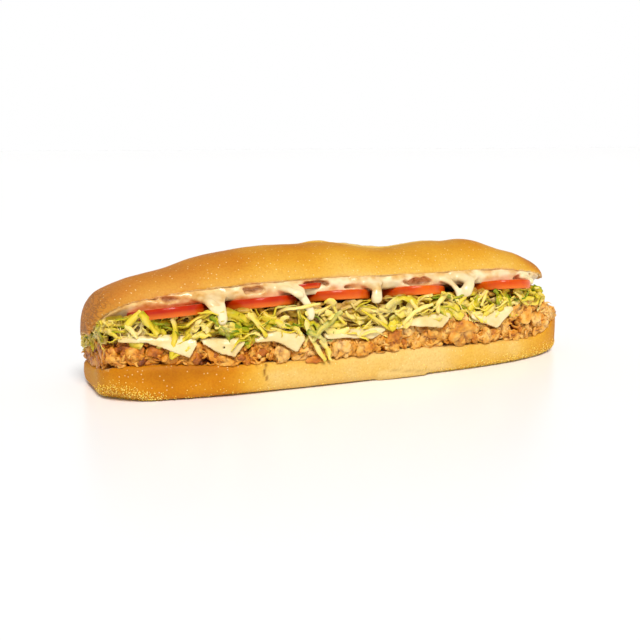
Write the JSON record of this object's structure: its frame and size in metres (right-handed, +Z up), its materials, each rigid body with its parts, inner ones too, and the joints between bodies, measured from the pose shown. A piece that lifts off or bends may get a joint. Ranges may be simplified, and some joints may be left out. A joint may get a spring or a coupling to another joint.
{
  "type": "chicken cheesesteak",
  "caption": "Long sandwich roll, slit along its front and hinged along its back, filled with chopped chicken, sliced cheese, shredded lettuce, tomato slices and white sauce",
  "frame": {"origin": "middle of the bounding box in plan, on the surface that the roll rests on", "axes": "+X along the roll, to the right as its open front is seen; -Y out of the open front; +Z up"},
  "size_m": [0.3012, 0.0934, 0.075],
  "materials": {
    "crust": "golden crust, matt",
    "chicken": "seared and moist",
    "cheese": "soft and slightly glossy",
    "lettuce": "crisp, with a waxy sheen",
    "tomato": "wet and glossy",
    "sauce": "creamy and glossy"
  },
  "bodies": {
    "root": {"roll": "crust", "chicken": "chicken", "cheese_1": "cheese", "cheese_2": "cheese", "cheese_3": "cheese", "cheese_4": "cheese", "cheese_5": "cheese", "cheese_6": "cheese", "lettuce": "lettuce", "tomato_1": "tomato", "tomato_2": "tomato", "tomato_3": "tomato", "tomato_4": "tomato", "tomato_5": "tomato", "tomato_6": "tomato", "sauce": "sauce"}
  },
  "joints": []
}
